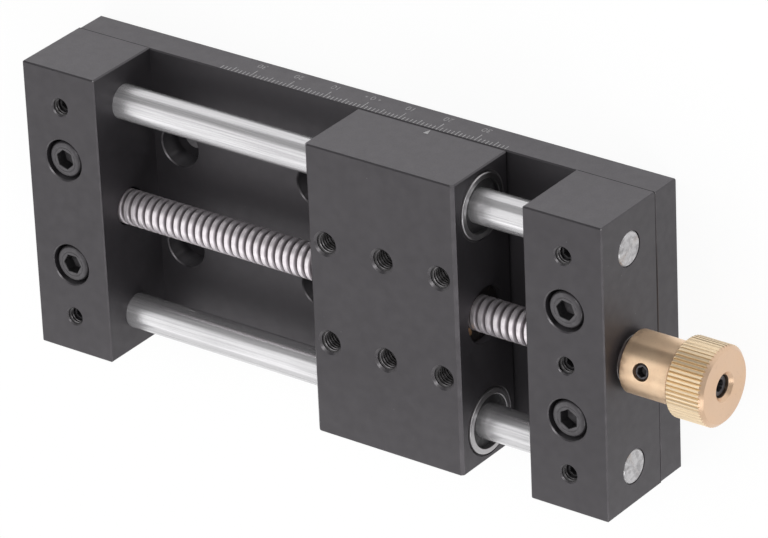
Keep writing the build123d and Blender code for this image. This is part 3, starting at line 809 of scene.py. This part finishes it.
def threads_in_hole(name, body, shape):
    """A piece of tapped threads, with its oily finish and its rubbed finish that is partly a painted
    highlight.
    """
    shape.piece(name, "black_anodised", body, material=THREAD_FINISH, second=RUBBED_AND_HIGHLIGHT_FINISH)


def make_lead_screw():
    """A turned core with its journals, and the thread's ridge around it."""
    journal_end = JOURNAL_RADIUS - JOURNAL_BREAK
    groove = JOURNAL_RADIUS - GROOVE_DEPTH
    groove_end = CIRCLIP_HIGH.x + GROOVE_PLAY
    far_end, knob_end = SCREW_LOW.x, SCREW_HIGH.x
    core = [(far_end + CENTRE_HOLE_DEPTH, CENTRE_HOLE_TIP), (far_end, CENTRE_HOLE_RADIUS),
            (far_end, journal_end), (far_end + JOURNAL_BREAK, JOURNAL_RADIUS),
            (CIRCLIP_LOW.x, JOURNAL_RADIUS), (CIRCLIP_LOW.x, groove), (groove_end, groove),
            (groove_end, JOURNAL_RADIUS), (FAR_SHOULDER, JOURNAL_RADIUS), (FAR_SHOULDER, SCREW_ROOT),
            (KNOB_SHOULDER, SCREW_ROOT), (KNOB_SHOULDER, JOURNAL_RADIUS),
            (knob_end - JOURNAL_BREAK, JOURNAL_RADIUS), (knob_end, journal_end),
            (knob_end, CENTRE_HOLE_RADIUS), (knob_end - CENTRE_HOLE_DEPTH, CENTRE_HOLE_TIP)]
    screw = Shape()
    screw.loops([circle(radius, x) for x, radius in core], ON_AXIS)
    screw.ridge(SCREW_RIDGE, LEAD, FAR_SHOULDER + SHOULDER_GAP, KNOB_SHOULDER - SHOULDER_GAP, ON_AXIS)
    screw.piece("lead_screw_threaded", "turned_steel", "screw", ["lead_screw"])


def make_nut_thread():
    """The nut's thread at the mouth that shows, half a pitch off the screw's ridge to lie in its groove."""
    screw_start = FAR_SHOULDER + SHOULDER_GAP
    whole_turns = math.floor((NUT_MOUTH - NUT_MOUTH_GAP - screw_start) / LEAD) - NUT_THREAD_TURNS
    start = screw_start + (whole_turns + 0.5) * LEAD
    thread = Shape()
    thread.ridge(NUT_RIDGE, LEAD, start, start + NUT_THREAD_TURNS * LEAD, ON_AXIS)
    thread.piece("lead_nut_thread", "brass", "carriage", material=NUT_FINISH)


def make_table_threads():
    """Threads of the table's six holes."""
    threads = Shape()
    for column in (-1, 0, 1):
        for row in (-0.5, 0.5):
            tapped(threads, CARRIAGE_X + column * TABLE_SPACING[0], row * TABLE_SPACING[1],
                   CARRIAGE_HIGH.z, TABLE_TAP, TABLE_TAP_DEPTH)
    threads_in_hole("table_hole_threads", "carriage", threads)


def make_clamp_screws(end, middle):
    """The screws that clamp the shafts in one block, and the threads above them."""
    low, high = box(f"shaft_clamp_screws_{end}")
    shaft_y = high.y - (high.x - low.x) / 2
    clamps = Shape()
    threads = Shape()
    for y in (-shaft_y, shaft_y):
        grub_screw(clamps, standing(middle, y, low.z), high.z - low.z)
        tapped(threads, middle, y, BLOCK_TOP, CLAMP_TAP, BLOCK_TOP - high.z)
    clamps.piece(f"clamp_screws_{end}", "black_oxide", "base", [f"shaft_clamp_screws_{end}"],
                 second=SOCKET_FINISH)
    threads_in_hole(f"clamp_hole_threads_{end}", "base", threads)


def make_cap_screws(end, middle):
    """The screws that hold one block to the plate."""
    high = box(f"block_screws_{end}")[1]
    head_y = high.y - CAP_HEAD["radius"]
    heads = Shape()
    for side in (-1, 1):
        cap_screw(heads, standing(middle, side * head_y, high.z - CAP_HEAD["height"]),
                  math.radians(CAP_KEY_TURN[end, side]))
    heads.piece(f"cap_screws_{end}", "black_oxide", "base", [f"block_screws_{end}"], second=SOCKET_FINISH)


def make_lock_screw():
    """The lock screw, and the thread it turns in, whose ridge lies in the screw's groove."""
    low, high = box("lock_screw")
    middle = (low.x + high.x) / 2
    lock = Shape()
    grub_screw(lock, standing(middle, 0, low.z), high.z - low.z)
    lock.piece("lock_screw_threaded", "black_oxide", "lock_screw", ["lock_screw"], second=SOCKET_FINISH)
    thread_low = low.z + GRUB["thread_start"] + CLAMP_TAP[0] * LOCK_TURNS_BELOW
    thread = Shape()
    tapped(thread, middle, 0, BLOCK_TOP, CLAMP_TAP, BLOCK_TOP - thread_low)
    threads_in_hole("lock_hole_thread", "base", thread)


def make_knob_set_screw():
    """The knob's set screw, square to the hub."""
    low, high = box("knob_set_screw")
    on_axis = Matrix.Translation(((low.x + high.x) / 2, 0, AXIS_HEIGHT))
    lean = Matrix.Rotation(-math.radians(KNOB_SET["lean"]), 4, "X")
    place = on_axis @ lean @ Matrix.Translation((0, 0, JOURNAL_RADIUS + KNOB_SET["gap"]))
    knob_set = Shape()
    grub_screw(knob_set, place, KNOB_SET["length"])
    knob_set.piece("knob_set_screw_threaded", "black_oxide", "screw", ["knob_set_screw"],
                   second=SOCKET_FINISH)


def printed_bar(shape, x, width, z_low, z_high, y):
    """A thin bar of ink on a face that looks along +Y."""
    corners = [(x + side * width / 2, y + lift, z)
               for lift in (PRINT_LIFT, PRINT_THICKNESS) for z in (z_low, z_high) for side in (-1, 1)]
    faces = [[0, 1, 3, 2], [4, 6, 7, 5], [0, 4, 5, 1], [2, 3, 7, 6], [0, 2, 6, 4], [1, 5, 7, 3]]
    shape.add(corners, faces)


def make_scale_marks():
    """A mark for each millimetre, from the plate's upper edge down."""
    marks = Shape()
    for mark in range(-SCALE_REACH, SCALE_REACH + 1):
        length = next(size for step, size in MARK_LENGTHS.items() if mark % step == 0)
        printed_bar(marks, SCALE_ZERO + mark, MARK_WIDTH, PLATE.z - length, SCALE_EDGE, PLATE.y)
    marks.piece("scale_marks", None, "base", material=MARK_INK)


def printed_number(text, x, z, y):
    """The mesh of a number on a face that looks along +Y, read from that side with the base down."""
    curve = bpy.data.curves.new(f"number_{text}", "FONT")
    curve.body = text
    curve.size = NUMBER_HEIGHT / NUMBER_SHARE_OF_FONT * MM
    curve.align_x = "CENTER"
    curve.align_y = "CENTER"
    curve.extrude = (PRINT_THICKNESS - PRINT_LIFT) / 2 * MM
    writer = add_object(f"writer_{text}", curve)
    bpy.context.view_layer.update()
    mesh = bpy.data.meshes.new_from_object(writer.evaluated_get(bpy.context.evaluated_depsgraph_get()))
    bpy.data.objects.remove(writer)
    middle = y + (PRINT_LIFT + PRINT_THICKNESS) / 2
    mesh.transform(Matrix(((-1, 0, 0, x * MM), (0, 0, 1, middle * MM), (0, 1, 0, z * MM), (0, 0, 0, 1))))
    return mesh


def make_scale_numbers():
    """The number of every tenth mark that has one, as one piece."""
    gathered = bmesh.new()
    for step in range(-3, 4):
        number = str(abs(step) * 10) if step else ZERO_TEXT
        text = printed_number(number, SCALE_ZERO + step * 10 + NUMBER_SHIFT, NUMBER_Z, PLATE.y)
        gathered.from_mesh(text)
        bpy.data.meshes.remove(text)
    mesh = bpy.data.meshes.new("scale_numbers")
    gathered.to_mesh(mesh)
    gathered.free()
    mesh.materials.append(NUMBER_INK)
    scale_numbers = add_object("scale_numbers", mesh)
    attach(scale_numbers, "base")


def make_pointer():
    """The pointer on the carriage's ruled side."""
    tip = CARRIAGE_LOW.z + POINTER_TIP
    top = tip + POINTER_LENGTH
    outline = [(0, tip), (POINTER_WIDTH / 2, top), (-POINTER_WIDTH / 2, top)]
    pointer = Shape()
    pointer.loops([[(CARRIAGE_X + x, CARRIAGE_HIGH.y + lift, z) for x, z in outline]
                   for lift in (-POINTER_SINK, PRINT_THICKNESS)])
    pointer.piece("scale_pointer", None, "carriage", material=MARK_INK)


def floor_finish():
    """Pale paper that shows near white to the camera and to reflections, and keeps a soft shadow."""
    material = bpy.data.materials.new("floor_paper")
    material.use_nodes = True
    tree = material.node_tree
    tree.nodes.clear()
    output = tree.nodes.new("ShaderNodeOutputMaterial")
    paper = tree.nodes.new("ShaderNodeBsdfDiffuse")
    feed(tree, FLOOR["paper"], paper.inputs["Color"])
    glow = tree.nodes.new("ShaderNodeEmission")
    feed(tree, FLOOR["white"], glow.inputs["Strength"])
    rays = tree.nodes.new("ShaderNodeLightPath").outputs
    seen = math_node(tree, "MAXIMUM", rays["Is Camera Ray"], rays["Is Glossy Ray"])
    share = math_node(tree, "MULTIPLY", seen, FLOOR["share"])
    blend_shaders(tree, share, paper.outputs[0], glow.outputs[0], output.inputs["Surface"])
    return material


def make_floor():
    """A square of paper in the mounting face's plane."""
    half = FLOOR["half"]
    corners = [(-half, -half, 0), (half, -half, 0), (half, half, 0), (-half, half, 0)]
    mesh = bpy.data.meshes.new("floor")
    mesh.from_pydata(corners, [], [[0, 1, 2, 3]])
    mesh.materials.append(floor_finish())
    floor = add_object("floor", mesh)


def turned_to(tree, direction, stretch):
    """How far a direction turns towards one dimmer stretch."""
    turn = tree.nodes.new("ShaderNodeVectorMath")
    turn.operation = "DOT_PRODUCT"
    turn.inputs[1].default_value = stretch["across"]
    tree.links.new(direction, turn.inputs[0])
    return turn.outputs["Value"]


def dimmed(tree, turn, stretch):
    """The sky's level, lower where the turn reaches the stretch."""
    return range_node(tree, turn, stretch["from"], stretch["to"], SKY_LEVEL, stretch["level"])


def make_world():
    """A soft pale studio, dimmer behind the camera and along one low wall that runs with the travel.

    It shows white to the camera.
    """
    world = bpy.data.worlds.new("studio")
    bpy.context.scene.world = world
    world.use_nodes = True
    tree = world.node_tree
    sky = tree.nodes["Background"]
    feed(tree, (1, 1, 1), sky.inputs["Color"])
    direction = tree.nodes.new("ShaderNodeTexCoord").outputs["Generated"]
    off_wall = math_node(tree, "ABSOLUTE", turned_to(tree, direction, WALL))
    behind_camera = turned_to(tree, direction, ROOM)
    level = math_node(tree, "MINIMUM", dimmed(tree, off_wall, WALL), dimmed(tree, behind_camera, ROOM))
    feed(tree, level, sky.inputs["Strength"])
    white = tree.nodes.new("ShaderNodeBackground")
    feed(tree, (1, 1, 1), white.inputs["Color"])
    rays = tree.nodes.new("ShaderNodeLightPath").outputs
    blend_shaders(tree, rays["Is Camera Ray"], sky.outputs[0], white.outputs[0],
                  tree.nodes["World Output"].inputs["Surface"])


def make_light(name, place, size, watts):
    """A rectangular soft light that looks at the middle."""
    light = bpy.data.lights.new(name, "AREA")
    light.shape = "RECTANGLE"
    light.size, light.size_y = size
    light.energy = watts
    lamp = add_object(name, light)
    lamp.location = place
    lamp.rotation_mode = "QUATERNION"
    lamp.rotation_quaternion = (-Vector(place)).to_track_quat("-Z", "Y")
    lamp.visible_camera = False


def make_camera():
    """The camera, with its axes squared to its line of sight."""
    data = bpy.data.cameras.new("camera")
    data.sensor_width = CAMERA["sensor"]
    data.lens = CAMERA["lens"]
    data.clip_start, data.clip_end = CAMERA["clip"]
    back = Vector(CAMERA["back"])
    up = back.cross(Vector(CAMERA["right"])).normalized()
    right = up.cross(back).normalized()
    turn = Matrix((right, up, back.normalized())).transposed().to_4x4()
    camera = add_object("camera", data)
    camera.matrix_world = Matrix.Translation(Vector(CAMERA["place"]) * MM) @ turn
    bpy.context.scene.camera = camera


make_lead_screw()
make_nut_thread()
make_table_threads()
for block_end in ("far", "knob"):
    block_low, block_high = box(f"end_block_{block_end}")
    block_middle = (block_low.x + block_high.x) / 2
    make_clamp_screws(block_end, block_middle)
    make_cap_screws(block_end, block_middle)
make_lock_screw()
make_knob_set_screw()
make_scale_marks()
make_scale_numbers()
make_pointer()
make_floor()
make_world()
for light_values in LIGHTS:
    make_light(*light_values)
make_camera()
bpy.context.scene.view_settings.view_transform = "Standard"
